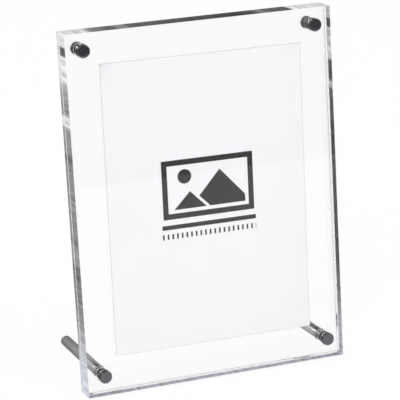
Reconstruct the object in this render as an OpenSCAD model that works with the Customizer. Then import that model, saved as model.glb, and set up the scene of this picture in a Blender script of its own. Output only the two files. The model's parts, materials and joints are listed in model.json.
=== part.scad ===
/* [Sheets] */
// Width of both clear sheets
sheet_w = 167; // [160:1:240]
// Height of both clear sheets, along their own slope
sheet_h = 220; // [200:1:300]
// Thickness of the front sheet
front_t = 9.4; // [6:0.1:15]
// Thickness of the rear sheet
rear_t = 4.9; // [2:0.1:8]
// Polished bevel along every edge of the sheets
edge_bevel = 0.3; // [0.1:0.1:0.8]
// Bevel round the mouths of the holes in the front sheet
mouth_bevel = 0.3; // [0.1:0.1:0.5]

/* [Hole places] */
// Hole axes in from the side edges
side_inset = 10.8; // [8:0.1:13]
// Upper hole axes down from the top edge
top_inset = 10.6; // [8:0.1:16]
// Lower hole axes up from the bottom edge
bottom_inset = 12.3; // [9:0.1:18]

/* [Photo insert] */
// Width of the printed card
insert_w = 127; // [100:1:130]
// Height of the printed card
insert_h = 178; // [140:1:185]
// Thickness of the printed card
insert_t = 0.3; // [0.2:0.05:0.6]
// How far the card sits to the right of the middle
insert_shift = 1.5; // [-3:0.1:3]
// How far the card is turned, clockwise to someone who looks at it, in degrees
insert_tilt = 0.5; // [-1:0.1:1]
// Play between the card and each sheet
insert_play = 0.05; // [0.03:0.01:0.2]

/* [Front caps] */
// Diameter of a cap's head
cap_d = 7.8; // [7.6:0.1:12]
// Height of a cap's head
cap_h = 2; // [1.6:0.1:5]
// Bevel round the head
cap_bevel = 0.5; // [0.2:0.1:0.8]
// Diameter of the barrel that fills the front sheet's hole
barrel_d = 6.8; // [6:0.1:7]
// Room between the barrel's end and the rear sheet, for tightening
barrel_stop = 0.6; // [0.3:0.1:1]

/* [Legs] */
// Diameter of a leg
leg_d = 6.8; // [6:0.1:7.4]
// Length of a leg behind its washer
leg_len = 64.1; // [45:0.1:110]
// Bevel round both ends of a leg
leg_bevel = 0.4; // [0.2:0.1:0.8]

/* [Rear screws] */
// Diameter of a rear screw's head
rear_head_d = 7.8; // [7:0.1:12]
// Height of a rear screw's head
rear_head_h = 1.8; // [1.2:0.1:4]
// Bevel round a rear screw's head
rear_head_bevel = 0.4; // [0.2:0.1:0.6]

/* [Threads] */
// Diameter of the studs and of the rear screws' shanks
stud_d = 4; // [3:0.1:4.6]
// Bevel at the ends of the threads
stud_bevel = 0.4; // [0.2:0.1:0.6]
// Length of thread held in a cap's barrel
thread_hold = 7; // [4:0.5:7]
// Length of a leg's stud inside the leg
stud_in_leg = 8.5; // [5:0.5:14]
// Spare depth of a tapped hole past the thread's end
tap_spare = 0.5; // [0.2:0.1:0.8]

/* [Washers] */
// Thickness of every clear washer
washer_t = 0.5; // [0.3:0.1:1.2]
// Outer diameter of the washers under the caps
front_washer_d = 8.8; // [8:0.1:14]
// Outer diameter of the washers behind the rear sheet
rear_washer_d = 7.8; // [7.2:0.1:14]

/* [Fits] */
// Play all round a barrel in its hole and its washer
barrel_play = 0.08; // [0.05:0.01:0.1]
// Play all round a thread in its tapped hole
thread_play = 0.05; // [0.02:0.01:0.1]
// Play all round a stud in the rear sheet and its washer
stud_play = 0.3; // [0.2:0.05:0.5]
// Play between a washer and the face that turns on it
seat_play = 0.02; // [0.01:0.01:0.05]

/* [Hidden] */
$fn = 96;

// How far a cut runs past the face that it opens
overrun = 1;

// Sides and levels of the four screw axes
left = -1;
right = 1;
hole_x = sheet_w / 2 - side_inset;
upper = sheet_h / 2 - top_inset;
lower = bottom_inset - sheet_h / 2;

// Depths behind the front face
rear_sheet_front = front_t + insert_t + 2 * insert_play;
stack_back = rear_sheet_front + rear_t;
seat_back = stack_back + washer_t + seat_play;
barrel_end = rear_sheet_front - barrel_stop;
thread_front = barrel_end - thread_hold;
cap_seat = -washer_t - seat_play;
cap_front = cap_seat - cap_h;
leg_end = seat_back + leg_len;

// The lean: the floor touches the rear sheet's lower edge and the rims of the legs' far ends
foot_depth = stack_back - edge_bevel;
foot_level = -sheet_h / 2;
rim_depth = leg_end - leg_bevel;
rim_level = lower - leg_d / 2;
lean = atan2(rim_level - foot_level, rim_depth - foot_depth);

// Where a point at a depth and a level lies once the frame leans back
function back_of(depth, level) = depth * cos(lean) + level * sin(lean);
function height_of(depth, level) = level * cos(lean) - depth * sin(lean);
front_most = min(
    back_of(0, edge_bevel - sheet_h / 2),
    back_of(cap_front + cap_bevel, lower - cap_d / 2),
    back_of(cap_front, lower - cap_d / 2 + cap_bevel)
);
rear_most = max(
    back_of(stack_back, sheet_h / 2 - edge_bevel),
    back_of(leg_end - leg_bevel, lower + leg_d / 2),
    back_of(leg_end, lower + leg_d / 2 - leg_bevel)
);
floor_level = height_of(foot_depth, foot_level);

// Stands the frame on the floor, with the origin below the middle of its outer box
module standing() {
    translate([0, -(front_most + rear_most) / 2, -floor_level])
        rotate([-lean, 0, 0])
            children();
}

// Puts a turned piece on a screw axis, its own Z running backwards from the front face
module on_axis(side, level) {
    translate([side * hole_x, 0, level])
        rotate([-90, 0, 0])
            children();
}

function cut_corners(w, h, bevel) = [
    [bevel, 0], [w - bevel, 0], [w, bevel], [w, h - bevel],
    [w - bevel, h], [bevel, h], [0, h - bevel], [0, bevel]
];

// A plate from depth 0 backwards, centred on its width and height, with all its edges bevelled
module bevelled_plate(w, t, h, bevel) {
    translate([-w / 2, 0, -h / 2])
        intersection() {
            linear_extrude(height = h)
                polygon(cut_corners(w, t, bevel));
            translate([0, t, 0])
                rotate([90, 0, 0])
                    linear_extrude(height = t)
                        polygon(cut_corners(w, h, bevel));
            rotate([90, 0, 90])
                linear_extrude(height = w)
                    polygon(cut_corners(t, h, bevel));
        }
}

module at_each_hole() {
    for (side = [left, right], level = [upper, lower])
        on_axis(side, level)
            children();
}

// A round hole with a bevelled mouth at both ends, cut from depth 0 to depth
module bevelled_hole(d, depth, bevel) {
    rotate_extrude()
        polygon([
            [0, -overrun], [d / 2 + bevel, -overrun], [d / 2 + bevel, 0], [d / 2, bevel],
            [d / 2, depth - bevel], [d / 2 + bevel, depth],
            [d / 2 + bevel, depth + overrun], [0, depth + overrun]
        ]);
}

// A round bar from one depth to another with a bevel round each end
module bevelled_bar(d, from, to, front_bevel, rear_bevel) {
    rotate_extrude()
        polygon([
            [0, from], [d / 2 - front_bevel, from], [d / 2, from + front_bevel],
            [d / 2, to - rear_bevel], [d / 2 - rear_bevel, to], [0, to]
        ]);
}

module washer(outer_d, inner_d, from) {
    translate([0, 0, from])
        difference() {
            cylinder(d = outer_d, h = washer_t);
            translate([0, 0, -overrun])
                cylinder(d = inner_d, h = washer_t + 2 * overrun);
        }
}

module front_sheet() {
    color([0.88, 0.93, 0.95, 0.35])
        standing()
            difference() {
                bevelled_plate(sheet_w, front_t, sheet_h, edge_bevel);
                at_each_hole()
                    bevelled_hole(barrel_d + 2 * barrel_play, front_t, mouth_bevel);
            }
}

module rear_sheet() {
    color([0.86, 0.91, 0.94, 0.35])
        standing()
            difference() {
                translate([0, rear_sheet_front, 0])
                    bevelled_plate(sheet_w, rear_t, sheet_h, edge_bevel);
                at_each_hole()
                    translate([0, 0, rear_sheet_front - overrun])
                        cylinder(d = stud_d + 2 * stud_play, h = rear_t + 2 * overrun);
            }
}

module photo_insert() {
    color([0.96, 0.95, 0.97])
        standing()
            translate([insert_shift, front_t + insert_play, 0])
                rotate([0, insert_tilt, 0])
                    translate([-insert_w / 2, 0, -insert_h / 2])
                        cube([insert_w, insert_t, insert_h]);
}

// A cap: a bevelled head on a barrel that is tapped from behind
module cap(side, level) {
    color([0.2, 0.2, 0.22])
        standing()
            on_axis(side, level)
                difference() {
                    rotate_extrude()
                        polygon([
                            [0, cap_front], [cap_d / 2 - cap_bevel, cap_front],
                            [cap_d / 2, cap_front + cap_bevel], [cap_d / 2, cap_seat],
                            [barrel_d / 2, cap_seat], [barrel_d / 2, barrel_end], [0, barrel_end]
                        ]);
                    translate([0, 0, thread_front - tap_spare])
                        cylinder(d = stud_d + 2 * thread_play, h = thread_hold + tap_spare + overrun);
                }
}

module front_washer(side, level) {
    color([0.9, 0.93, 0.93, 0.5])
        standing()
            on_axis(side, level)
                washer(front_washer_d, barrel_d + 2 * barrel_play, -washer_t);
}

module rear_washer(side, level) {
    color([0.9, 0.93, 0.93, 0.5])
        standing()
            on_axis(side, level)
                washer(rear_washer_d, stud_d + 2 * stud_play, stack_back);
}

// A rear screw: a low round head and a threaded shank in one piece
module rear_screw(side) {
    color([0.62, 0.63, 0.65])
        standing()
            on_axis(side, upper)
                union() {
                    bevelled_bar(rear_head_d, seat_back, seat_back + rear_head_h, 0, rear_head_bevel);
                    bevelled_bar(stud_d, thread_front, seat_back + rear_head_h / 2, stud_bevel, 0);
                }
}

// A leg: a plain round rod, tapped at its front end for the stud
module leg(side) {
    color([0.55, 0.56, 0.58])
        standing()
            on_axis(side, lower)
                difference() {
                    bevelled_bar(leg_d, seat_back, leg_end, leg_bevel, leg_bevel);
                    translate([0, 0, seat_back - overrun])
                        cylinder(d = stud_d + 2 * thread_play, h = overrun + stud_in_leg + tap_spare);
                }
}

module leg_stud(side) {
    color([0.7, 0.7, 0.72])
        standing()
            on_axis(side, lower)
                bevelled_bar(stud_d, thread_front, seat_back + stud_in_leg, stud_bevel, stud_bevel);
}

front_sheet();
rear_sheet();
photo_insert();
cap(left, upper);  // cap_upper_left
cap(right, upper);  // cap_upper_right
cap(left, lower);  // cap_lower_left
cap(right, lower);  // cap_lower_right
front_washer(left, upper);  // front_washer_upper_left
front_washer(right, upper);  // front_washer_upper_right
front_washer(left, lower);  // front_washer_lower_left
front_washer(right, lower);  // front_washer_lower_right
rear_washer(left, upper);  // rear_washer_upper_left
rear_washer(right, upper);  // rear_washer_upper_right
rear_washer(left, lower);  // rear_washer_lower_left
rear_washer(right, lower);  // rear_washer_lower_right
rear_screw(left);  // rear_screw_upper_left
rear_screw(right);  // rear_screw_upper_right
leg(left);  // leg_left
leg(right);  // leg_right
leg_stud(left);  // leg_stud_left
leg_stud(right);  // leg_stud_right
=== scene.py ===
# %% [markdown]
# This lesson dresses a leaning desk frame: two clear acrylic sheets that clamp a printed card.
# The solids come packed from the construction model, and every piece made here rides on one of
# its bodies. They set all the sizes, so the first cells load them and read what they need.

import json
import math

import bmesh
import bpy
from mathutils import Matrix, Vector


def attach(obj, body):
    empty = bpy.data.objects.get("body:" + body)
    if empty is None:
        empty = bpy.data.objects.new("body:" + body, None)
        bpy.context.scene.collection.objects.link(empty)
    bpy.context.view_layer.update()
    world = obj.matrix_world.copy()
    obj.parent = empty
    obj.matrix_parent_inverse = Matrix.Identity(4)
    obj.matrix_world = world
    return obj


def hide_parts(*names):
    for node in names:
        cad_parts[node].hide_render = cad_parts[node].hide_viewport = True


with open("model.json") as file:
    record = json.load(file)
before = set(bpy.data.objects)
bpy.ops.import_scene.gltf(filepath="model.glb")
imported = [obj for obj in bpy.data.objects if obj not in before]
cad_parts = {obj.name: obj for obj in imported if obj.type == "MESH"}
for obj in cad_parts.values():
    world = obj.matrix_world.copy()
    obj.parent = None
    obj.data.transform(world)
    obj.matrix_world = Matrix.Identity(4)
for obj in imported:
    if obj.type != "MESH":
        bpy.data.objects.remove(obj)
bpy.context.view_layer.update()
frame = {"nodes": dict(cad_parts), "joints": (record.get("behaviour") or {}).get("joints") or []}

# %% [markdown]
# The frame leans back, so its sheets don't lie along the world's axes. Working in the panel's own
# axes keeps the later cells simple: x to the right, depth backwards from the front face, and
# level up the panel from its middle. The axes come from the joints, which run along the screws
# and along the card's way out, and the zero point is the middle of the front sheet's front face.

# %% Find the panel's own axes
MILLIMETRE = 0.001


def joint_named(name):
    return next(joint for joint in frame["joints"] if joint["name"] == name)


rightwards = Vector((1, 0, 0))
backwards = Vector(joint_named("leg_left_travel")["axis"]).normalized()
upwards = Vector(joint_named("insert_lift")["axis"]).normalized()
panel_axes = Matrix((rightwards, backwards, upwards)).transposed().to_4x4()


def box_along(axes, node):
    """Lowest and highest corner of a solid along the axes of a matrix."""
    into_axes = axes.inverted()
    corners = [into_axes @ v.co for v in frame["nodes"][node].data.vertices]
    lowest = Vector(min(c[i] for c in corners) for i in range(3))
    highest = Vector(max(c[i] for c in corners) for i in range(3))
    return lowest, highest


lowest, highest = box_along(panel_axes, "front_sheet")
front_centre = panel_axes @ Vector(((lowest.x + highest.x) / 2, lowest.y, (lowest.z + highest.z) / 2))
panel_to_world = Matrix.Translation(front_centre) @ panel_axes @ Matrix.Scale(MILLIMETRE, 4)
world_to_panel = panel_to_world.inverted()
lean = math.atan2(upwards.y, upwards.z)
print("the panel leans back by", round(math.degrees(lean), 2), "degrees")


# %% Measure the solids in the panel's axes
def panel_box(node):
    """Lowest and highest corner of a solid, in millimetres along the panel's axes."""
    return box_along(panel_to_world, node)


def screw_axis(node):
    """Where the axis of a turned solid crosses the front face: x and level."""
    lowest, highest = panel_box(node)
    return (lowest.x + highest.x) / 2, (lowest.z + highest.z) / 2


CORNERS = ("upper_left", "upper_right", "lower_left", "lower_right")
SIDES = ("left", "right")
screw_axes = {corner: screw_axis("cap_" + corner) for corner in CORNERS}
for corner, (x, level) in screw_axes.items():
    print(corner, "screw at x", round(x, 2), "level", round(level, 2))

# %% [markdown]
# Every finished piece sits at the origin with its place in its mesh, as the solids do. One helper
# moves a mesh made in millimetres along the panel's axes to its place in the world, and names the
# body that carries it and the solid that it stands for.


# %% A helper that settles a finished mesh
def new_object(name, data):
    made = bpy.data.objects.new(name, data)
    bpy.context.scene.collection.objects.link(made)
    return made


def settle(name, mesh, body, node):
    mesh.transform(panel_to_world)
    mesh.update()
    piece = new_object(name, mesh)
    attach(piece, body)
    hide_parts(node)
    print(name, "rides", body, "with", len(mesh.polygons), "faces")


def smooth_but_creased(mesh, crease_degrees=30):
    mesh.shade_smooth()
    mesh.set_sharp_from_angle(angle=math.radians(crease_degrees))


# %% [markdown]
# Materials come next. Sockets are set and wired in the same few ways over and over, so a handful
# of small helpers keeps the node code short enough to read.


# %% Helpers for node trees
def add_node(tree, kind, **settings):
    node = tree.nodes.new(kind)
    for name, value in settings.items():
        setattr(node, name, value)
    return node


def feed(tree, socket, source):
    """Sets a socket to a plain value, or wires it to another socket."""
    if isinstance(source, bpy.types.NodeSocket):
        tree.links.new(source, socket)
    else:
        socket.default_value = source


def feed_all(tree, sockets, sources):
    for socket, source in zip(sockets, sources):
        feed(tree, socket, source)


def feed_named(tree, node, sources):
    """Feeds a node's sockets by their names and hands back its first output."""
    for name, source in sources.items():
        feed(tree, node.inputs[name.replace("_", " ")], source)
    return node.outputs[0]


def fed_node(tree, kind, **sources):
    return feed_named(tree, add_node(tree, kind), sources)


def maths(tree, operation, *sources):
    node = add_node(tree, "ShaderNodeMath", operation=operation)
    feed_all(tree, node.inputs, sources)
    return node.outputs[0]


def parts_of(tree, vector):
    node = add_node(tree, "ShaderNodeSeparateXYZ")
    feed(tree, node.inputs[0], vector)
    return node.outputs


def ranged(tree, value, from_min, from_max, to_min=0.0, to_max=1.0, kind="SMOOTHSTEP"):
    """Carries a value from one range over to another."""
    node = add_node(tree, "ShaderNodeMapRange", interpolation_type=kind)
    feed_all(tree, node.inputs, (value, from_min, from_max, to_min, to_max))
    return node.outputs["Result"]


def noise(tree, dimensions, place, scale, detail=2, roughness=0.5):
    node = add_node(tree, "ShaderNodeTexNoise", noise_dimensions=dimensions)
    feed(tree, node.inputs["W" if dimensions == "1D" else "Vector"], place)
    return feed_named(tree, node, {"Scale": scale, "Detail": detail, "Roughness": roughness})


# %% Helpers for colours, groups and materials
WHITE = (1, 1, 1, 1)
BUMP_HEIGHT = 0.02


def grey(tone):
    return (tone, tone, tone, 1)


def shade_of(colour, factor):
    return [min(part * factor, 1) for part in colour[:3]] + [1]


def mixed(tree, share, first, second):
    """The first colour at a share of 0, the second at 1."""
    node = add_node(tree, "ShaderNodeMix", data_type="RGBA")
    feed_all(tree, (node.inputs[0], node.inputs[6], node.inputs[7]), (share, first, second))
    return node.outputs[2]


def show_mix(tree, share, first, second):
    """Mixes two shaders in the same way and hands the result to the material's output."""
    node = add_node(tree, "ShaderNodeMixShader")
    feed_all(tree, node.inputs, (share, first, second))
    feed(tree, tree.nodes["Material Output"].inputs["Surface"], node.outputs["Shader"])


def new_group(name, inputs, output, kind="ShaderNodeTree"):
    """A group with its sockets, each given by its name and its type."""
    group = bpy.data.node_groups.new(name, kind)
    for title, sort in inputs:
        group.interface.new_socket(title, in_out="INPUT", socket_type="NodeSocket" + sort)
    group.interface.new_socket(output[0], in_out="OUTPUT", socket_type="NodeSocket" + output[1])
    given = add_node(group, "NodeGroupInput")
    made = add_node(group, "NodeGroupOutput")
    return group, given.outputs, made.inputs[0]


def place_group(tree, group, **values):
    return feed_named(tree, add_node(tree, "ShaderNodeGroup", node_tree=group), values)


def new_material(name):
    material = bpy.data.materials.new(name)
    material.use_nodes = True
    tree = material.node_tree
    print("material:", name)
    return material, tree, tree.nodes["Principled BSDF"]


def add_bump(tree, shader, height, strength):
    distance = MILLIMETRE * BUMP_HEIGHT
    bump = fed_node(tree, "ShaderNodeBump", Strength=strength, Distance=distance, Height=height)
    feed(tree, shader.inputs["Normal"], bump)


# %% [markdown]
# Patterns are easiest to place in the panel's axes too. The Object coordinates of a piece at the
# origin are world coordinates in metres, so a Mapping node turns them upright, moves their zero
# point to the front face and counts them in millimetres.


# %% Panel coordinates inside a material
def panel_place(tree):
    coordinates = add_node(tree, "ShaderNodeTexCoord").outputs["Object"]
    mapping = add_node(tree, "ShaderNodeMapping", vector_type="POINT")
    place, turn, scale = world_to_panel.decompose()
    feed_all(tree, mapping.inputs, (coordinates, place, turn.to_euler(), scale))
    return mapping.outputs["Vector"]


# %% [markdown]
# Two wear effects serve several finishes, so each is a node group that is built once. The first
# is a drift of faint dust and cleaning marks that lifts the roughness here and there. The second
# is the fine turning grain of a lathe: grooves round the axis on a side, rings on a face.


# %% Node group for dust and cleaning marks
MARKS_START, MARKS_FULL = 0.4, 0.7


def build_marks_group():
    inputs = (("Place", "Vector"), ("Mark Size", "Float"), ("Least", "Float"), ("Most", "Float"))
    group, given, made = new_group("dust and cleaning marks", inputs, ("Amount", "Float"))
    scale = maths(group, "DIVIDE", 1.0, given["Mark Size"])
    drift = noise(group, "3D", given["Place"], scale, detail=4)
    feed(group, made, ranged(group, drift, MARKS_START, MARKS_FULL, given["Least"], given["Most"]))
    return group


marks_group = build_marks_group()
print("marks group has", len(marks_group.nodes), "nodes")


# %% Node group for lathe grain
def build_grain_group():
    inputs = (("Place", "Vector"), ("Grooves", "Float"))
    group, given, made = new_group("lathe grain", inputs, ("Groove", "Float"))
    x, y, along = parts_of(group, given["Place"])
    squares = maths(group, "ADD", maths(group, "MULTIPLY", x, x), maths(group, "MULTIPLY", y, y))
    winding = maths(group, "ADD", along, maths(group, "SQRT", squares))
    feed(group, made, noise(group, "1D", winding, given["Grooves"], detail=3))
    return group


grain_group = build_grain_group()
print("grain group has", len(grain_group.nodes), "nodes")

# %% [markdown]
# Cast acrylic is a clear plastic that bends light a little less than window glass does. The faces
# are left as cast, almost perfectly smooth. A lamp's light has to reach the card through them, and
# tracing that light through refraction is slow and noisy, so a lamp's ray passes straight through
# while every other ray bends. The walls of the holes bend nothing, because a real bend there would
# hide the metal inside behind a mirror.

# %% Acrylic
ACRYLIC_IOR = 1.49
ACRYLIC_TINT = (0.993, 0.996, 0.996, 1)
FACE_MARK_SIZE = 14.0
FACE_ROUGHNESS = (0.0, 0.012)


def acrylic_material(name, tint, least_rough, most_rough):
    material, tree, shader = new_material(name)
    shader.inputs["Base Color"].default_value = tint
    shader.inputs["IOR"].default_value = ACRYLIC_IOR
    shader.inputs["Transmission Weight"].default_value = 1.0
    rough = place_group(tree, marks_group, Place=panel_place(tree), Mark_Size=FACE_MARK_SIZE,
                        Least=least_rough, Most=most_rough)
    feed(tree, shader.inputs["Roughness"], rough)
    from_lamp = add_node(tree, "ShaderNodeLightPath").outputs["Is Shadow Ray"]
    clear = add_node(tree, "ShaderNodeBsdfTransparent")
    show_mix(tree, from_lamp, shader.outputs["BSDF"], clear.outputs["BSDF"])
    return material, tree, shader


acrylic_face = acrylic_material("acrylic_face", ACRYLIC_TINT, *FACE_ROUGHNESS)[0]
hole_wall, _, hole_shader = acrylic_material("hole_wall", ACRYLIC_TINT, *FACE_ROUGHNESS)
hole_shader.inputs["IOR"].default_value = 1.0
print("acrylic bends light by", ACRYLIC_IOR)

# %% [markdown]
# The sawn edges of the sheets are only part polished, and cloudy. Their colour is a painted
# reflection of the room that shines into them: dark along the middle of a side, pale near the upper
# corners, where light gets in from the next edge too, and paler and a little violet near the foot,
# where the white table shines in. Painted streaks break that tone up across the thickness. Seen from
# inside, through the sheet, an edge is painted darker than it is from outside. A group works the
# tone out from the place on the edge, so that both sheets can use it with values of their own.

# %% Places of painted reflection tones along the edges, in millimetres and shares of white
lowest, highest = panel_box("front_sheet")
HALF_WIDTH = (highest.x - lowest.x) / 2
HALF_HEIGHT = (highest.z - lowest.z) / 2
# Painted reflection: tones along a side seen from outside and from inside, and along the top
OUTSIDE_PAINTED_TONES = (
    (-110, 0.72), (-92, 0.66), (-62, 0.27), (-30, 0.16), (-28, 0.3), (-18, 0.3), (-14, 0.17),
    (-10, 0.27), (33, 0.25), (36, 0.12), (39, 0.26), (54, 0.3), (56, 0.75), (60, 0.75),
    (62, 0.27), (76, 0.32), (84, 0.72), (110, 0.72),
)
INSIDE_PAINTED_TONES = (
    (-110, 0.8), (-90, 0.55), (-68, 0.2), (-50, 0.06), (10, 0.05), (38, 0.07), (42, 0.11),
    (58, 0.13), (60, 0.5), (63, 0.5), (65, 0.08), (76, 0.1), (78, 0.85), (110, 0.8),
)
TOP_PAINTED_TONES = (
    (-84, 0.64), (-69, 0.6), (-66, 0.22), (-52, 0.09), (-49, 0.24), (-45, 0.24), (-42, 0.11),
    (27, 0.05), (37, 0.08), (39, 0.2), (42, 0.2), (44, 0.12), (58, 0.09), (60, 0.68), (84, 0.64),
)
# Painted reflection of the white table at the foot, with its violet tint
FOOT_PAINTED_TONE = 0.43
FOOT_PAINTED_TINT = (0.89, 0.925, 1.04, 1)
FOOT_TINT_FROM = 0.4
# Painted dark patch beside the upper screws, standing for their reflection in the edge
SCREW_PAINTED_REFLECTION_TONE = 0.12
SCREW_REFLECTION_CORE, SCREW_REFLECTION_REACH = 2.08, 3.38
EDGE_BAND = 0.9
STREAK_START = 500.0


def tone_ramp(tree, place, tones, reach):
    """A colour ramp over a place that runs from minus reach to plus reach."""
    ramp = add_node(tree, "ShaderNodeValToRGB")
    feed(tree, ramp.inputs["Fac"], ranged(tree, place, -reach, reach, kind="LINEAR"))
    stops = ramp.color_ramp.elements
    while len(stops) < len(tones):
        stops.new(0.5)
    for stop, (at, tone) in zip(stops, tones):
        stop.position = (at + reach) / (2 * reach)
        stop.color = grey(tone)
    return ramp.outputs["Color"]


# %% Node group for the painted reflection tone of an edge
def streaks_along(group, given, across, level, is_side):
    """A factor that swings about 1 along an edge."""
    not_side = maths(group, "SUBTRACT", 1.0, is_side)
    along = maths(group, "ADD", maths(group, "MULTIPLY", level, is_side),
                  maths(group, "MULTIPLY", across, not_side))
    start = maths(group, "ADD", along, STREAK_START)
    scale = maths(group, "DIVIDE", 1.0, given["Streak Length"])
    streak = noise(group, "1D", start, scale, detail=5, roughness=0.65)
    swing = maths(group, "MULTIPLY", maths(group, "SUBTRACT", streak, 0.5), given["Streak Depth"])
    return maths(group, "ADD", 1.0, swing)


def painted_screw_reflection(group, given, level, is_side):
    """How far a side lies in a painted dark patch beside an upper screw, which stands for the screw's
    reflection in the edge.
    """
    from_screw = maths(group, "ABSOLUTE", maths(group, "SUBTRACT", level, screw_axes["upper_left"][1]))
    beside = maths(group, "MULTIPLY", ranged(group, from_screw, SCREW_REFLECTION_REACH, SCREW_REFLECTION_CORE), is_side)
    return maths(group, "MULTIPLY", beside, given["Screw Shadow"])


def build_painted_reflection_group():
    inputs = (("Place", "Vector"), ("Streak Length", "Float"), ("Streak Depth", "Float"),
              ("Screw Shadow", "Float"), ("Inside", "Float"))
    group, given, made = new_group("painted edge reflection", inputs, ("Tone", "Color"))
    across, depth, level = parts_of(group, given["Place"])
    is_side = maths(group, "GREATER_THAN", maths(group, "ABSOLUTE", across), HALF_WIDTH - EDGE_BAND)
    is_foot = maths(group, "LESS_THAN", level, EDGE_BAND - HALF_HEIGHT)

    outside = tone_ramp(group, level, OUTSIDE_PAINTED_TONES, HALF_HEIGHT)
    inside = tone_ramp(group, level, INSIDE_PAINTED_TONES, HALF_HEIGHT)
    side = mixed(group, given["Inside"], outside, inside)
    top = tone_ramp(group, across, TOP_PAINTED_TONES, HALF_WIDTH)
    tone = mixed(group, is_side, mixed(group, is_foot, top, grey(FOOT_PAINTED_TONE)), side)

    streaked = add_node(group, "ShaderNodeVectorMath", operation="SCALE")
    feed(group, streaked.inputs[0], tone)
    feed(group, streaked.inputs["Scale"], streaks_along(group, given, across, level, is_side))
    shadow = painted_screw_reflection(group, given, level, is_side)
    shadowed = mixed(group, shadow, streaked.outputs["Vector"], grey(SCREW_PAINTED_REFLECTION_TONE))

    low = ranged(group, level, -HALF_HEIGHT * FOOT_TINT_FROM, -HALF_HEIGHT, kind="LINEAR")
    tinted = add_node(group, "ShaderNodeVectorMath", operation="MULTIPLY")
    feed_all(group, tinted.inputs, (shadowed, mixed(group, low, WHITE, FOOT_PAINTED_TINT)))
    feed(group, made, tinted.outputs["Vector"])
    return group


painted_reflection_group = build_painted_reflection_group()
print("edge group has", len(painted_reflection_group.nodes), "nodes")


# %% Sawn edges of the front and the rear sheet, coloured by the painted reflection tone
def painted_edge_material(name, clear_share, least_rough, most_rough, **tones):
    material, tree, shader = acrylic_material(name, ACRYLIC_TINT, least_rough, most_rough)
    shader.inputs["Transmission Weight"].default_value = clear_share
    shader.inputs["Specular IOR Level"].default_value = 0.0
    place = panel_place(tree)
    outer = place_group(tree, painted_reflection_group, Place=place, Inside=0.0, **tones)
    inner = place_group(tree, painted_reflection_group, Place=place, Inside=1.0, **tones)
    from_inside = add_node(tree, "ShaderNodeNewGeometry").outputs["Backfacing"]
    feed(tree, shader.inputs["Base Color"], mixed(tree, from_inside, outer, inner))
    return material


front_edge = painted_edge_material("front_sheet_edge", clear_share=0.04, least_rough=0.2, most_rough=0.35,
                           Streak_Length=3.5, Streak_Depth=1.5, Screw_Shadow=1.0)
rear_edge = painted_edge_material("rear_sheet_edge", clear_share=0.1, least_rough=0.1, most_rough=0.2,
                          Streak_Length=3.0, Streak_Depth=0.5, Screw_Shadow=0.15)

# %% Scraped arrises
SCRAPED_TONE = 0.95
SCRAPED_SWING = 0.1
SCRAPED_CLEAR_SHARE = 0.7
SCRAPE_SCALE = 0.6


def scraped_material(name):
    material, tree, shader = acrylic_material(name, ACRYLIC_TINT, least_rough=0.25, most_rough=0.4)
    shader.inputs["Transmission Weight"].default_value = SCRAPED_CLEAR_SHARE
    scrape = noise(tree, "3D", panel_place(tree), SCRAPE_SCALE)
    darkest, palest = SCRAPED_TONE * (1 - SCRAPED_SWING), SCRAPED_TONE * (1 + SCRAPED_SWING)
    tone = ranged(tree, scrape, 0.0, 1.0, darkest, palest, kind="LINEAR")
    feed(tree, shader.inputs["Base Color"], tone)
    return material


scraped_arris = scraped_material("scraped_arris")

# %% [markdown]
# Both sheets are flat plates with rounded arrises and four holes. A flat curve with a bevel gives
# exactly that: the outline and the holes are its splines, the extrusion is the thickness, and the
# bevel rounds the arris of the outline and of each hole's mouth at once. A solid with a boolean
# would work too, but it leaves long thin faces where the bevels meet.

# %% Helper for the outline of a sheet
ARRIS = 0.3
ARRIS_STEPS = 2
HOLE_POINTS = 64


def closed_spline(curve, points):
    spline = curve.splines.new("POLY")
    spline.points.add(len(points) - 1)
    for point, (x, y) in zip(spline.points, points):
        point.co = (x, y, 0, 1)
    spline.use_cyclic_u = True


def circle_points(centre, radius, count):
    angles = [2 * math.pi * i / count for i in range(count)]
    return [(centre[0] + radius * math.cos(a), centre[1] + radius * math.sin(a)) for a in angles]


# %% Helper that makes one sheet
def sheet_mesh(name, node, hole_radius):
    lowest, highest = panel_box(node)
    curve = bpy.data.curves.new(name, "CURVE")
    curve.dimensions = "2D"
    curve.fill_mode = "BOTH"
    thickness = highest.y - lowest.y
    curve.extrude = thickness / 2 - ARRIS
    curve.bevel_depth = ARRIS
    curve.bevel_resolution = ARRIS_STEPS
    curve.offset = -ARRIS
    corners = [(lowest.x, lowest.z), (highest.x, lowest.z), (highest.x, highest.z), (lowest.x, highest.z)]
    closed_spline(curve, corners)
    for axis in screw_axes.values():
        closed_spline(curve, circle_points(axis, hole_radius, HOLE_POINTS))
    flat = new_object(name, curve)
    graph = bpy.context.evaluated_depsgraph_get()
    mesh = bpy.data.meshes.new_from_object(flat.evaluated_get(graph))
    bpy.data.objects.remove(flat)
    middle_depth = (lowest.y + highest.y) / 2
    upright = Matrix.Translation((0, middle_depth, 0)) @ Matrix.Rotation(math.radians(90), 4, "X")
    mesh.transform(upright)
    merge_and_face_out(mesh)
    return mesh


def merge_and_face_out(mesh, distance=0.001):
    work = bmesh.new()
    work.from_mesh(mesh)
    bmesh.ops.remove_doubles(work, verts=work.verts, dist=distance)
    bmesh.ops.recalc_face_normals(work, faces=work.faces)
    work.to_mesh(mesh)
    work.free()


# %% [markdown]
# The broad faces and the sawn edges have different finishes, so each face of the mesh takes its
# material from where it lies. The front sheet is sawn on all four sides. The thin rear sheet has only
# its left side and its top sawn, and the other two polished until they are clear. A sawn side carries
# the painted reflection tone, and a clear one has none. Apart from the top ones, the arrises next to
# the card are scraped, and make a pale line between the sheets.

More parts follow.
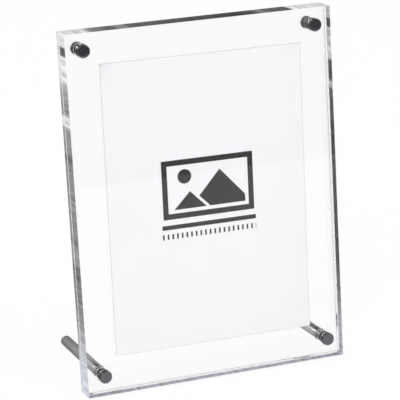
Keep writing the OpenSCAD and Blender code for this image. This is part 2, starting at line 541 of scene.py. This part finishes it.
# %% Make the two sheets
BARREL_HOLE_RADIUS = 3.48
STUD_HOLE_RADIUS = 2.3
FLAT_NORMAL = 0.999
ARRIS_NORMAL = 0.2
TOWARDS_CARD = {"front_sheet": 1, "rear_sheet": -1}
EDGE_SLOT, ARRIS_SLOT, WALL_SLOT = 1, 2, 3


def on_outline(polygon):
    """True for a sheet's sides and their arrises, false for its broad faces and its holes."""
    x, depth, level = polygon.center
    near = abs(x) > HALF_WIDTH - ARRIS or abs(level) > HALF_HEIGHT - ARRIS
    return near and abs(polygon.normal.y) < FLAT_NORMAL


def on_left_or_top(polygon):
    x, depth, level = polygon.center
    return on_outline(polygon) and (x < ARRIS - HALF_WIDTH or level > HALF_HEIGHT - ARRIS)


def on_side_or_foot(polygon):
    return on_outline(polygon) and polygon.center.z < HALF_HEIGHT - ARRIS


def in_hole(polygon):
    """True for the wall of a hole between its two mouths."""
    return not on_outline(polygon) and abs(polygon.normal.y) < ARRIS_NORMAL


def dress_sheet(name, node, hole_radius, edge, is_sawn):
    mesh = sheet_mesh(name, node, hole_radius)
    mesh.materials.clear()
    for material in (acrylic_face, edge, scraped_arris, hole_wall):
        mesh.materials.append(material)
    smooth_but_creased(mesh)
    for polygon in mesh.polygons:
        faces_card = polygon.normal.y * TOWARDS_CARD[node] > ARRIS_NORMAL
        if on_side_or_foot(polygon) and faces_card:
            polygon.material_index = ARRIS_SLOT
        elif is_sawn(polygon):
            polygon.material_index = EDGE_SLOT
        elif in_hole(polygon):
            polygon.material_index = WALL_SLOT
        polygon.use_smooth = max(abs(part) for part in polygon.normal) < FLAT_NORMAL
    settle(name, mesh, node, node)


dress_sheet("front_acrylic_sheet", "front_sheet", BARREL_HOLE_RADIUS, front_edge, on_outline)
dress_sheet("rear_acrylic_sheet", "rear_sheet", STUD_HOLE_RADIUS, rear_edge, on_left_or_top)

# %% [markdown]
# Caps, legs, screws and washers are all turned, so one helper spins a profile round a screw axis.
# A profile is a list of radius and depth pairs, and a rounded corner is worked out by an arc. Each
# mesh also keeps its own lathe coordinates in an attribute, so that the grain follows the axis.


# %% Helpers for turned pieces
TURN_STEPS = 64


def rounded(radius, depth, bevel, from_angle, to_angle, steps=5):
    """Points of an arc round (radius, depth), angles in degrees from outwards towards backwards."""
    angles = [math.radians(from_angle + (to_angle - from_angle) * i / steps) for i in range(steps + 1)]
    return [(radius + bevel * math.cos(a), depth + bevel * math.sin(a)) for a in angles]


def turned_mesh(name, profile, axis):
    """A closed profile from axis to axis, or a closed ring, spun round a screw axis."""
    closed = profile[0][0] > 0
    work = bmesh.new()
    lathe = work.verts.layers.float_vector.new("lathe_place")
    rings = []
    for radius, depth in profile:
        count = 1 if radius == 0 else TURN_STEPS
        ring = []
        for i in range(count):
            angle = 2 * math.pi * i / TURN_STEPS
            x, y = radius * math.cos(angle), radius * math.sin(angle)
            vertex = work.verts.new((axis[0] + x, depth, axis[1] + y))
            vertex[lathe] = (x, y, depth)
            ring.append(vertex)
        rings.append(ring)
    pairs = list(zip(rings, rings[1:]))
    if closed:
        pairs.append((rings[-1], rings[0]))
    for near, far in pairs:
        for i in range(TURN_STEPS):
            j = (i + 1) % TURN_STEPS
            corners = [near[i % len(near)], near[j % len(near)], far[j % len(far)], far[i % len(far)]]
            distinct = list(dict.fromkeys(corners))
            if len(distinct) > 2:
                work.faces.new(distinct)
    bmesh.ops.recalc_face_normals(work, faces=work.faces)
    mesh = bpy.data.meshes.new(name)
    work.to_mesh(mesh)
    work.free()
    smooth_but_creased(mesh)
    return mesh


# %% [markdown]
# The caps are turned from brass and plated in mirror-bright nickel. The face keeps very
# fine rings from the lathe under the plating, which a small bump shows, and the plating is a
# little duller where fingers tighten it. The barrel inside the sheet is bright nickel. The cap's
# head, the rear screws' heads and the slightly satin legs are coloured darker than it, as a painted
# reflection of a dark room. Polished metal in a real room mirrors its dark parts at the rim. This
# stage has few of them, so a darker tint at the rim paints that reflection in.

# %% Plated metal
METAL_RIM_PAINTED_DARK_TINT = grey(0.3)
GROOVE_SHADE, RIDGE_SHADE = 0.8, 1.2
FINGER_MARK_SIZE = 2.5


def metal_material(name, colour, least_rough, most_rough, grooves, groove_strength):
    material, tree, shader = new_material(name)
    lathe = add_node(tree, "ShaderNodeAttribute", attribute_name="lathe_place").outputs["Vector"]
    shader.inputs["Metallic"].default_value = 1.0
    shader.inputs["Specular Tint"].default_value = METAL_RIM_PAINTED_DARK_TINT
    rough = place_group(tree, marks_group, Place=lathe, Mark_Size=FINGER_MARK_SIZE,
                        Least=least_rough, Most=most_rough)
    feed(tree, shader.inputs["Roughness"], rough)
    groove = place_group(tree, grain_group, Place=lathe, Grooves=grooves)
    shade = mixed(tree, groove, shade_of(colour, GROOVE_SHADE), shade_of(colour, RIDGE_SHADE))
    feed(tree, shader.inputs["Base Color"], shade)
    add_bump(tree, shader, groove, groove_strength)
    return material


# The cap, head and leg colours are darkened as a painted dark reflection; the barrel's is the nickel's
# own
CAP_PAINTED_DARK_COLOUR = (0.14, 0.135, 0.15)
BARREL_COLOUR = (0.78, 0.78, 0.79)
HEAD_PAINTED_DARK_COLOUR = (0.2, 0.2, 0.205)
LEG_PAINTED_DARK_COLOUR = (0.41, 0.41, 0.415)
THREAD_COLOUR = grey(0.5)
# name, colour, least and most roughness, grooves in a millimetre and how strongly they show
cap_metal = metal_material("nickel_painted_dark", CAP_PAINTED_DARK_COLOUR, 0.05, 0.12, 6.0, 0.15)
barrel_metal = metal_material("barrel_nickel", BARREL_COLOUR, 0.03, 0.08, 6.0, 0.1)
head_metal = metal_material("screw_head_nickel", HEAD_PAINTED_DARK_COLOUR, 0.03, 0.08, 6.0, 0.1)
leg_metal = metal_material("leg_nickel", LEG_PAINTED_DARK_COLOUR, 0.12, 0.2, 4.0, 0.2)
thread_metal = metal_material("cut_thread_steel", THREAD_COLOUR, 0.25, 0.4, 8.0, 0.3)

# %% [markdown]
# A cap is a head on a barrel. The barrel fills the hole in the front sheet and is tapped from
# behind, so the profile runs over the head, down the barrel and back up the tapped hole.

# %% Make the caps
CAP_BEVEL = 0.5
BARREL_RADIUS = 3.4
BORE_RADIUS = 2.05
BARREL_BEVEL = 0.15
WASHER_THICKNESS = 0.5
SEAT_PLAY = 0.02
BORE_LENGTH = 7.5


def cap_profile(head_radius, front, barrel_end):
    head = rounded(head_radius - CAP_BEVEL, front + CAP_BEVEL, CAP_BEVEL, -90, 0)
    seat = -WASHER_THICKNESS - SEAT_PLAY
    foot = rounded(head_radius - BARREL_BEVEL, seat - BARREL_BEVEL, BARREL_BEVEL, 0, 90, 3)
    end = rounded(BARREL_RADIUS - BARREL_BEVEL, barrel_end - BARREL_BEVEL, BARREL_BEVEL, 0, 90, 3)
    bore_end = barrel_end - BORE_LENGTH
    bore = [(BORE_RADIUS, barrel_end), (BORE_RADIUS, bore_end), (0, bore_end)]
    return [(0, front)] + head + foot + [(BARREL_RADIUS, seat)] + end + bore


for corner in CORNERS:
    lowest, highest = panel_box("cap_" + corner)
    profile = cap_profile((highest.x - lowest.x) / 2, lowest.y, highest.y)
    mesh = turned_mesh("turned_cap_" + corner, profile, screw_axes[corner])
    mesh.materials.append(cap_metal)
    mesh.materials.append(barrel_metal)
    for polygon in mesh.polygons:
        polygon.material_index = 1 if polygon.center.y > -WASHER_THICKNESS else 0
    settle("turned_cap_" + corner, mesh, "cap_" + corner, "cap_" + corner)

# %% [markdown]
# The legs are plain rods with rounded rims, tapped at the front for a stud. The rear screws at the
# top have a low round head instead.

# %% Make the legs and the rear screws' heads
LEG_BEVEL = 0.4
LEG_BORE_LENGTH = 9.0
HEAD_BEVEL = 0.4
REAR_HEAD_HEIGHT = 1.8
STUD_RADIUS = 2.0


def leg_profile(radius, front, rear):
    bore_end = front + LEG_BORE_LENGTH
    bore = [(0, bore_end), (BORE_RADIUS, bore_end), (BORE_RADIUS, front)]
    front_rim = rounded(radius - LEG_BEVEL, front + LEG_BEVEL, LEG_BEVEL, -90, 0)
    rear_rim = rounded(radius - LEG_BEVEL, rear - LEG_BEVEL, LEG_BEVEL, 0, 90)
    return bore + front_rim + rear_rim + [(0, rear)]


def head_profile(radius, rear):
    front = rear - REAR_HEAD_HEIGHT
    front_rim = rounded(radius - BARREL_BEVEL, front + BARREL_BEVEL, BARREL_BEVEL, -90, 0, 3)
    rear_rim = rounded(radius - HEAD_BEVEL, rear - HEAD_BEVEL, HEAD_BEVEL, 0, 90)
    return [(0, front)] + front_rim + rear_rim + [(0, rear)]


for side in SIDES:
    lowest, highest = panel_box("leg_" + side)
    profile = leg_profile((highest.x - lowest.x) / 2, lowest.y, highest.y)
    mesh = turned_mesh("turned_leg_" + side, profile, screw_axes["lower_" + side])
    mesh.materials.append(leg_metal)
    settle("turned_leg_" + side, mesh, "leg_" + side, "leg_" + side)

    node = "rear_screw_upper_" + side
    lowest, highest = panel_box(node)
    profile = head_profile((highest.x - lowest.x) / 2, highest.y)
    mesh = turned_mesh("rear_screw_head_" + side, profile, screw_axes["upper_" + side])
    mesh.materials.append(head_metal)
    settle("rear_screw_head_" + side, mesh, node, node)

# %% [markdown]
# A thread repeats the same groove turn after turn, which is a job for Geometry Nodes. The tree
# winds a thin ridge of triangular section round a core: the ridge follows a spiral curve, and the
# core is a plain bar. Its sizes are named inputs, so one tree serves the studs and the screws.

# %% Geometry Nodes tree for a cut thread
CORE_SIDES = 32
SPIRAL_STEPS = 24
SECTION_CORNERS = 4
RUN_OUT_TURNS = 1.2


def build_thread_tree():
    sizes = ("Length", "Core Radius", "Ridge Height", "Pitch")
    inputs = [("Geometry", "Geometry")] + [(size, "Float") for size in sizes] + [("Metal", "Material")]
    tree, given, made = new_group("cut thread", inputs, ("Geometry", "Geometry"), "GeometryNodeTree")

    core = fed_node(tree, "GeometryNodeMeshCylinder", Vertices=CORE_SIDES,
                    Radius=given["Core Radius"], Depth=given["Length"])

    run_out = maths(tree, "MULTIPLY", given["Pitch"], RUN_OUT_TURNS)
    ridge_run = maths(tree, "SUBTRACT", given["Length"], run_out)
    turns = maths(tree, "DIVIDE", ridge_run, given["Pitch"])
    spiral = fed_node(tree, "GeometryNodeCurveSpiral", Resolution=SPIRAL_STEPS, Rotations=turns,
                      Start_Radius=given["Core Radius"], End_Radius=given["Core Radius"],
                      Height=ridge_run)
    section = fed_node(tree, "GeometryNodeCurvePrimitiveCircle", Resolution=SECTION_CORNERS,
                       Radius=given["Ridge Height"])
    ridge = fed_node(tree, "GeometryNodeCurveToMesh", Fill_Caps=True, Curve=spiral,
                     Profile_Curve=section)
    half_back = fed_node(tree, "ShaderNodeCombineXYZ", Z=maths(tree, "MULTIPLY", ridge_run, -0.5))
    centred = fed_node(tree, "GeometryNodeTransform", Translation=half_back, Geometry=ridge)

    joined = add_node(tree, "GeometryNodeJoinGeometry")
    for part in (core, centred):
        feed(tree, joined.inputs["Geometry"], part)
    realized = fed_node(tree, "GeometryNodeRealizeInstances", Geometry=joined.outputs["Geometry"])
    finished = fed_node(tree, "GeometryNodeSetMaterial", Geometry=realized, Material=given["Metal"])
    feed(tree, made, finished)
    return tree


thread_tree = build_thread_tree()
print("thread tree has", len(thread_tree.nodes), "nodes")

# %% [markdown]
# The tree runs as a modifier on an empty mesh. Its inputs are set by their identifiers, the
# evaluated result becomes a plain mesh, and the modifier goes. Each stud reaches from inside the
# cap's barrel, through the rear sheet, into the leg or up to the screw's head.

# %% Make the studs and the shanks
PITCH = 0.7
RIDGE_HEIGHT = 0.38
CORE_RADIUS = STUD_RADIUS - RIDGE_HEIGHT


def thread_mesh(name, axis, front, rear):
    holder = new_object(name, bpy.data.meshes.new(name))
    modifier = holder.modifiers.new("thread", "NODES")
    modifier.node_group = thread_tree
    values = {
        "Length": rear - front,
        "Core Radius": CORE_RADIUS,
        "Ridge Height": RIDGE_HEIGHT,
        "Pitch": PITCH,
        "Metal": thread_metal,
    }
    for item in thread_tree.interface.items_tree:
        if item.in_out == "INPUT" and item.name in values:
            modifier[item.identifier] = values[item.name]
    graph = bpy.context.evaluated_depsgraph_get()
    mesh = bpy.data.meshes.new_from_object(holder.evaluated_get(graph))
    bpy.data.objects.remove(holder)
    lathe = mesh.attributes.new("lathe_place", "FLOAT_VECTOR", "POINT")
    for vertex, place in zip(mesh.vertices, lathe.data):
        place.vector = vertex.co
    middle = Matrix.Translation((axis[0], (front + rear) / 2, axis[1]))
    mesh.transform(middle @ Matrix.Rotation(math.radians(-90), 4, "X"))
    smooth_but_creased(mesh)
    return mesh


for side in SIDES:
    node = "leg_stud_" + side
    lowest, highest = panel_box(node)
    mesh = thread_mesh("threaded_" + node, screw_axes["lower_" + side], lowest.y, highest.y)
    settle("threaded_" + node, mesh, "leg_" + side, node)

    node = "rear_screw_upper_" + side
    lowest, highest = panel_box(node)
    end = highest.y - REAR_HEAD_HEIGHT
    mesh = thread_mesh("threaded_shank_" + side, screw_axes["upper_" + side], lowest.y, end)
    settle("threaded_shank_" + side, mesh, node, node)

# %% [markdown]
# The washers are thin rings of a clear soft plastic that keep the metal off the acrylic. They are
# turned like the rest, with rims rounded all the way round, and are slightly cloudy.

# %% Make the washers
WASHER_RIM = 0.12


def washer_profile(inner, outer, front, rear):
    points = rounded(outer - WASHER_RIM, front + WASHER_RIM, WASHER_RIM, -90, 0, 3)
    points += rounded(outer - WASHER_RIM, rear - WASHER_RIM, WASHER_RIM, 0, 90, 3)
    points += rounded(inner + WASHER_RIM, rear - WASHER_RIM, WASHER_RIM, 90, 180, 3)
    points += rounded(inner + WASHER_RIM, front + WASHER_RIM, WASHER_RIM, 180, 270, 3)
    return points


WASHER_TINT = (0.95, 0.96, 0.96, 1)
WASHER_ROUGHNESS = (0.1, 0.25)
washer_plastic = acrylic_material("clear_washer_plastic", WASHER_TINT, *WASHER_ROUGHNESS)[0]
for corner in CORNERS:
    for row, inner in (("front_washer_", BARREL_HOLE_RADIUS), ("rear_washer_", STUD_HOLE_RADIUS)):
        node = row + corner
        lowest, highest = panel_box(node)
        profile = washer_profile(inner, (highest.x - lowest.x) / 2, lowest.y, highest.y)
        mesh = turned_mesh("clear_" + node, profile, screw_axes[corner])
        mesh.materials.append(washer_plastic)
        settle("clear_" + node, mesh, node, node)

# %% [markdown]
# The card is smooth, matt photo paper, a touch violet beside the clear acrylic. It carries a
# plain picture sign printed in near black: an outline, a sun, two peaks, a heavy bar and a row of
# rule marks. The sign is worked out from distances on the card, so it stays sharp at any size, and
# it is printed on the front alone.

# %% Place on the card, in millimetres
INSERT_TILT_DEGREES = 0.5
card_lowest, card_highest = panel_box("photo_insert")
card_centre = (card_lowest + card_highest) / 2
print("card centre at x", round(card_centre.x, 2), "depth", round(card_centre.y, 2))


def card_place(tree):
    mapping = add_node(tree, "ShaderNodeMapping", vector_type="TEXTURE")
    turn = (0, math.radians(INSERT_TILT_DEGREES), 0)
    feed_all(tree, mapping.inputs, (panel_place(tree), card_centre, turn))
    place = mapping.outputs["Vector"]
    return place, *parts_of(tree, place)


# %% Shapes of the printed sign
def inside_box(tree, x, z, left, right, bottom, top):
    above_least = maths(tree, "MULTIPLY", maths(tree, "GREATER_THAN", x, left),
                        maths(tree, "GREATER_THAN", z, bottom))
    below_most = maths(tree, "MULTIPLY", maths(tree, "LESS_THAN", x, right),
                       maths(tree, "LESS_THAN", z, top))
    return maths(tree, "MULTIPLY", above_least, below_most)


def inside_disc(tree, x, z, centre_x, centre_z, radius):
    across = maths(tree, "POWER", maths(tree, "SUBTRACT", x, centre_x), 2)
    upright = maths(tree, "POWER", maths(tree, "SUBTRACT", z, centre_z), 2)
    return maths(tree, "LESS_THAN", maths(tree, "ADD", across, upright), radius ** 2)


def below_peak(tree, x, z, peak_x, peak_z, slope):
    away = maths(tree, "ABSOLUTE", maths(tree, "SUBTRACT", x, peak_x))
    slopes = maths(tree, "SUBTRACT", peak_z, maths(tree, "MULTIPLY", away, slope))
    return maths(tree, "LESS_THAN", z, slopes)


SIGN_LEFT, SIGN_RIGHT = -29.0, 29.5
SIGN_BOTTOM, SIGN_TOP = -9.5, 26.5
SIGN_LINE = 3.4
SIGN_GAP = 2.2
SUN = (-14.5, 16.0, 4.4)
FAR_PEAK = (8.0, 18.0, 1.1)
NEAR_PEAK = (-11.5, 6.5, 1.0)
PEAK_GAP = 2.4
BAR = (-30.0, 30.3, -15.7, -13.0)
MARK_PITCH = 3.0
MARK_WIDTH = 1.1
MARKS = (-30.0, 30.3, -21.6, -18.4)


def printed_sign(tree, x, z):
    outer = inside_box(tree, x, z, SIGN_LEFT, SIGN_RIGHT, SIGN_BOTTOM, SIGN_TOP)
    inner = inside_box(tree, x, z, SIGN_LEFT + SIGN_LINE, SIGN_RIGHT - SIGN_LINE,
                       SIGN_BOTTOM + SIGN_LINE, SIGN_TOP - SIGN_LINE)
    outline = maths(tree, "SUBTRACT", outer, inner)
    rim = SIGN_LINE + SIGN_GAP
    picture = inside_box(tree, x, z, SIGN_LEFT + rim, SIGN_RIGHT - rim,
                         SIGN_BOTTOM + rim, SIGN_TOP - rim)
    near = below_peak(tree, x, z, *NEAR_PEAK)
    near_with_gap = below_peak(tree, x, z, NEAR_PEAK[0], NEAR_PEAK[1] + PEAK_GAP, NEAR_PEAK[2])
    far = maths(tree, "MULTIPLY", below_peak(tree, x, z, *FAR_PEAK),
                maths(tree, "SUBTRACT", 1.0, near_with_gap))
    peaks = maths(tree, "MULTIPLY", picture, maths(tree, "MAXIMUM", near, far))
    sun = inside_disc(tree, x, z, *SUN)
    bar = inside_box(tree, x, z, *BAR)
    phase = maths(tree, "FLOORED_MODULO", maths(tree, "SUBTRACT", x, MARKS[0]), MARK_PITCH)
    marks = maths(tree, "MULTIPLY", inside_box(tree, x, z, *MARKS),
                  maths(tree, "LESS_THAN", phase, MARK_WIDTH))
    sign = outline
    for shape in (peaks, sun, bar, marks):
        sign = maths(tree, "MAXIMUM", sign, shape)
    return sign


# %% Card with its print
PAPER_COLOUR = (0.96, 0.944, 0.967, 1)
PAPER_ROUGHNESS, PAPER_SHINE = 0.45, 0.0
THIN_FIBRE_SHADE = 0.985
FIBRE_SCALE = 3
INK_COLOUR = (0.004, 0.004, 0.005, 1)
INSERT_SIZE = (127.0, 178.0)
# A thin grey rim runs along the card's outline
GREY_RIM_WIDTH = 0.3
GREY_RIM_COLOUR = (0.7, 0.7, 0.72, 1)


def build_card_material():
    material, tree, shader = new_material("printed_card")
    place, x, depth, z = card_place(tree)
    fibre = noise(tree, "3D", place, FIBRE_SCALE, detail=5)
    paper = mixed(tree, fibre, shade_of(PAPER_COLOUR, THIN_FIBRE_SHADE), PAPER_COLOUR)
    half_width, half_height = INSERT_SIZE[0] / 2 - GREY_RIM_WIDTH, INSERT_SIZE[1] / 2 - GREY_RIM_WIDTH
    inside = inside_box(tree, x, z, -half_width, half_width, -half_height, half_height)
    on_front = maths(tree, "LESS_THAN", depth, 0.0)
    inked = maths(tree, "MULTIPLY", printed_sign(tree, x, z), on_front)
    colour = mixed(tree, inked, mixed(tree, inside, GREY_RIM_COLOUR, paper), INK_COLOUR)
    feed(tree, shader.inputs["Base Color"], colour)
    shader.inputs["Roughness"].default_value = PAPER_ROUGHNESS
    shader.inputs["Specular IOR Level"].default_value = PAPER_SHINE
    add_bump(tree, shader, fibre, strength=0.05)
    return material


frame["nodes"]["photo_insert"].data.materials.clear()
frame["nodes"]["photo_insert"].data.materials.append(build_card_material())

# %% [markdown]
# The stage is a white table under soft light. To the camera, and where it shows directly in metal
# or through the sheets, the surroundings are plain white. Light that has bounced inside a sheet
# has come the long way round, and for it the room is dim, with only the table near the frame
# lit: that is what gives clear acrylic its grey edges.

# %% Room
ROOM_LEVEL = 0.8
DIM_LEVEL = 0.25
BOUNCES_SEEN_WHITE = 1.5


def seen_directly(tree, path):
    """1 for the camera, and for what metal mirrors or a sheet lets through."""
    through = maths(tree, "MAXIMUM", path["Is Glossy Ray"], path["Is Transmission Ray"])
    return maths(tree, "MAXIMUM", path["Is Camera Ray"], through)


def bounced_inside(tree, path):
    """1 for light that leaves a sheet after more than one bounce."""
    bounces = maths(tree, "GREATER_THAN", path["Glossy Depth"], BOUNCES_SEEN_WHITE)
    return maths(tree, "MULTIPLY", path["Is Transmission Ray"], bounces)


def build_room():
    world = bpy.data.worlds.new("room")
    bpy.context.scene.world = world
    world.use_nodes = True
    tree = world.node_tree
    background = tree.nodes["Background"]
    path = add_node(tree, "ShaderNodeLightPath").outputs
    plain = ranged(tree, seen_directly(tree, path), 0.0, 1.0, ROOM_LEVEL, 1.0, "LINEAR")
    level = ranged(tree, bounced_inside(tree, path), 0.0, 1.0, plain, DIM_LEVEL, "LINEAR")
    feed(tree, background.inputs["Strength"], level)
    background.inputs["Color"].default_value = WHITE
    print("the room lights the frame with", ROOM_LEVEL, "of white")


build_room()


# %% A helper for the flat things of the stage
def add_card(name, corners, material, unseen_by=()):
    mesh = bpy.data.meshes.new(name)
    mesh.from_pydata(corners, [], [(0, 1, 2, 3)])
    mesh.materials.append(material)
    card = new_object(name, mesh)
    for ray in unseen_by:
        setattr(card, "visible_" + ray, False)
    print("on the stage:", name)


# %% Table
TABLE_HALF = 4.0
TABLE_COLOUR = (0.93, 0.93, 0.935, 1)
TABLE_GLOW = 0.93
TABLE_NEAR = (0.85, 0.86, 0.9, 1)
TABLE_FAR = (0.18, 0.18, 0.19, 1)
NEAR_REACH = 0.08
FAR_REACH = 0.22


def build_table_material():
    material, tree, shader = new_material("white_table")
    tree.nodes.remove(shader)
    path = add_node(tree, "ShaderNodeLightPath").outputs
    plain = fed_node(tree, "ShaderNodeBsdfDiffuse", Color=TABLE_COLOUR)
    glow = fed_node(tree, "ShaderNodeEmission", Color=WHITE)
    white = add_node(tree, "ShaderNodeMixShader")
    glow_share = maths(tree, "MULTIPLY", seen_directly(tree, path), TABLE_GLOW)
    feed_all(tree, white.inputs, (glow_share, plain, glow))

    place = add_node(tree, "ShaderNodeTexCoord").outputs["Object"]
    distance = add_node(tree, "ShaderNodeVectorMath", operation="LENGTH")
    feed(tree, distance.inputs[0], place)
    away = ranged(tree, distance.outputs["Value"], NEAR_REACH, FAR_REACH)
    dim = fed_node(tree, "ShaderNodeBsdfDiffuse", Color=mixed(tree, away, TABLE_NEAR, TABLE_FAR))
    show_mix(tree, bounced_inside(tree, path), white.outputs["Shader"], dim)
    return material


half = TABLE_HALF
table_corners = [(-half, -half, 0), (half, -half, 0), (half, half, 0), (-half, half, 0)]
add_card("table_top", table_corners, build_table_material())

# %% [markdown]
# The camera's side of the room is dark. A dark screen stands there, behind the camera, and only
# shows as the dark that polished metal reflects.

# %% Dark screen
SCREEN_DISTANCE = 1.25
SCREEN_HALF_WIDTH = 2.0
SCREEN_HEIGHT = 1.6
SCREEN_COLOUR = (0.28, 0.28, 0.285, 1)


def build_screen():
    material, tree, shader = new_material("dark_cloth")
    shader.inputs["Base Color"].default_value = SCREEN_COLOUR
    shader.inputs["Roughness"].default_value = 1.0
    half, height, y = SCREEN_HALF_WIDTH, SCREEN_HEIGHT, -SCREEN_DISTANCE
    corners = [(-half, y, 0), (half, y, 0), (half, y, height), (-half, y, height)]
    add_card("dark_screen", corners, material, ("camera", "transmission", "diffuse", "shadow"))


build_screen()

# %% [markdown]
# Polished rods show only what stands behind the frame, drawn out into lines. Black cards stand and
# lie there to darken their rims, and small bright panels draw the crisp white streaks. They show
# only to light that a piece has mirrored, so they leave the white surroundings and the sheets
# alone. Each card also waits until the light has crossed a number of acrylic surfaces. A leg in
# the open is seen across none, a leg behind the sheets across four, and a barrel in its hole across
# more once its light has left again, so each card shows only in the metal that it is meant for.

# %% Cards and bright panels behind the frame
ANY_PASSES = -0.5
LEG_PASSES = 3.5
BARREL_PASSES = 4.5
# name, lowest corner, highest corner, brightness, where the soft rim starts, surfaces to cross
BEHIND = (
    ("black_card", (-0.21, 1.0, 0.362), (0.7, 1.0, 0.8), 0.02, 0.93, ANY_PASSES),
    ("barrel_card", (-1.0, 1.01, 0.0), (0.8, 1.01, 0.9), 0.1, 0.95, BARREL_PASSES),
    ("barrel_card_lying", (-0.9, -0.1, 0.002), (0.6, 1.0, 0.002), 0.2, 0.9, BARREL_PASSES),
    ("bright_panel", (-0.42, 0.99, 0.17), (-0.2, 0.99, 0.44), 12.0, 0.8, BARREL_PASSES),
    ("leg_panel", (-0.42, 0.98, 0.14), (-0.27, 0.98, 0.3), 1.7, 0.8, LEG_PASSES),
    ("small_panel", (0.1, 0.99, 0.28), (0.3, 0.99, 0.52), 6.0, 0.8, BARREL_PASSES),
)
CARD_RIM_LEVEL = 0.93


def from_middle(tree, low, high):
    """How far out a place lies on a flat card, from 0 in its middle to 1 at its rim."""
    place = add_node(tree, "ShaderNodeTexCoord").outputs["Object"]
    furthest = 0.0
    for part, near, far in zip(parts_of(tree, place), low, high):
        if far > near:
            away = maths(tree, "ABSOLUTE", maths(tree, "SUBTRACT", part, (near + far) / 2))
            share = maths(tree, "DIVIDE", away, (far - near) / 2)
            furthest = maths(tree, "MAXIMUM", furthest, share)
    return furthest


def mirrored_only_material(name, low, high, level, soft_from, passes):
    material, tree, shader = new_material(name)
    tree.nodes.remove(shader)
    path = add_node(tree, "ShaderNodeLightPath").outputs
    strength = ranged(tree, from_middle(tree, low, high), soft_from, 1.0, level, CARD_RIM_LEVEL)
    glow = fed_node(tree, "ShaderNodeEmission", Strength=strength)
    nothing = add_node(tree, "ShaderNodeBsdfTransparent").outputs["BSDF"]
    mirrored = maths(tree, "GREATER_THAN", path["Glossy Depth"], 0.5)
    through = maths(tree, "GREATER_THAN", path["Transmission Depth"], passes)
    shown = maths(tree, "MULTIPLY", mirrored, through)
    show_mix(tree, shown, nothing, glow)
    return material


for name, low, high, level, soft_from, passes in BEHIND:
    corners = [low, (high[0], low[1], low[2]), high, (low[0], high[1], high[2])]
    material = mirrored_only_material(name, low, high, level, soft_from, passes)
    add_card(name, corners, material, ("camera", "diffuse", "shadow"))

# %% [markdown]
# Two soft lamps light the frame. The larger one stands high on the left in front, and a weaker
# one on the right fills the shadows. A third, a long narrow strip behind on the left, draws the
# bright line along the caps and the rods.

# %% Lamps
# name, place, width and height, power in watts
LAMPS = (
    ("key_lamp", (-1.1, -1.0, 1.4), (0.9, 0.9), 10.5),
    ("fill_lamp", (1.3, -0.9, 1.0), (0.8, 0.8), 5.5),
    ("strip_lamp", (-0.9, 1.6, 0.9), (0.15, 0.9), 3.0),
)
LAMP_TARGET = Vector((0, 0, 0.1))


def add_lamp(name, place, size, power):
    light = bpy.data.lights.new(name, "AREA")
    light.shape = "RECTANGLE"
    light.size, light.size_y = size
    light.energy = power
    lamp = new_object(name, light)
    lamp.location = place
    lamp.rotation_euler = (LAMP_TARGET - Vector(place)).to_track_quat("-Z", "Y").to_euler()
    print(name, "gives", power, "watts")


for lamp_values in LAMPS:
    add_lamp(*lamp_values)

# %% [markdown]
# The camera stands where the photograph was taken: to the left, above, and far away through a long
# lens. Its place is given by the point that it looks at and by the way and distance to it.

# %% Camera
LENS = 180.98
CAMERA_AZIMUTH = -20.835
CAMERA_ELEVATION = 21.194
CAMERA_DISTANCE = 1.2010
CAMERA_ROLL = -0.303
CAMERA_AIM = Vector((-0.0060, -0.0244, 0.1128))


def build_camera():
    azimuth, elevation = math.radians(CAMERA_AZIMUTH), math.radians(CAMERA_ELEVATION)
    away = Vector((math.sin(azimuth) * math.cos(elevation), -math.cos(azimuth) * math.cos(elevation),
                   math.sin(elevation)))
    data = bpy.data.cameras.new("camera")
    data.lens = LENS
    data.clip_end = 50
    camera = new_object("camera", data)
    camera.location = CAMERA_AIM + away * CAMERA_DISTANCE
    look = (-away).to_track_quat("-Z", "Y").to_matrix().to_4x4()
    roll = Matrix.Rotation(math.radians(CAMERA_ROLL), 4, "Z")
    camera.rotation_euler = (look @ roll).to_euler()
    bpy.context.scene.camera = camera
    print("camera at", [round(c, 4) for c in camera.location])


build_camera()

# %% [markdown]
# Light travels far inside the sheets, from edge to edge, so the renderer is allowed enough
# bounces to follow it. The colours are shown as they are, with the plain view transform.

# %% Colour and light paths
INSIDE_BOUNCES = 32
scene = bpy.context.scene
scene.view_settings.view_transform = "Standard"
scene.cycles.max_bounces = INSIDE_BOUNCES
scene.cycles.glossy_bounces = INSIDE_BOUNCES
scene.cycles.transmission_bounces = INSIDE_BOUNCES
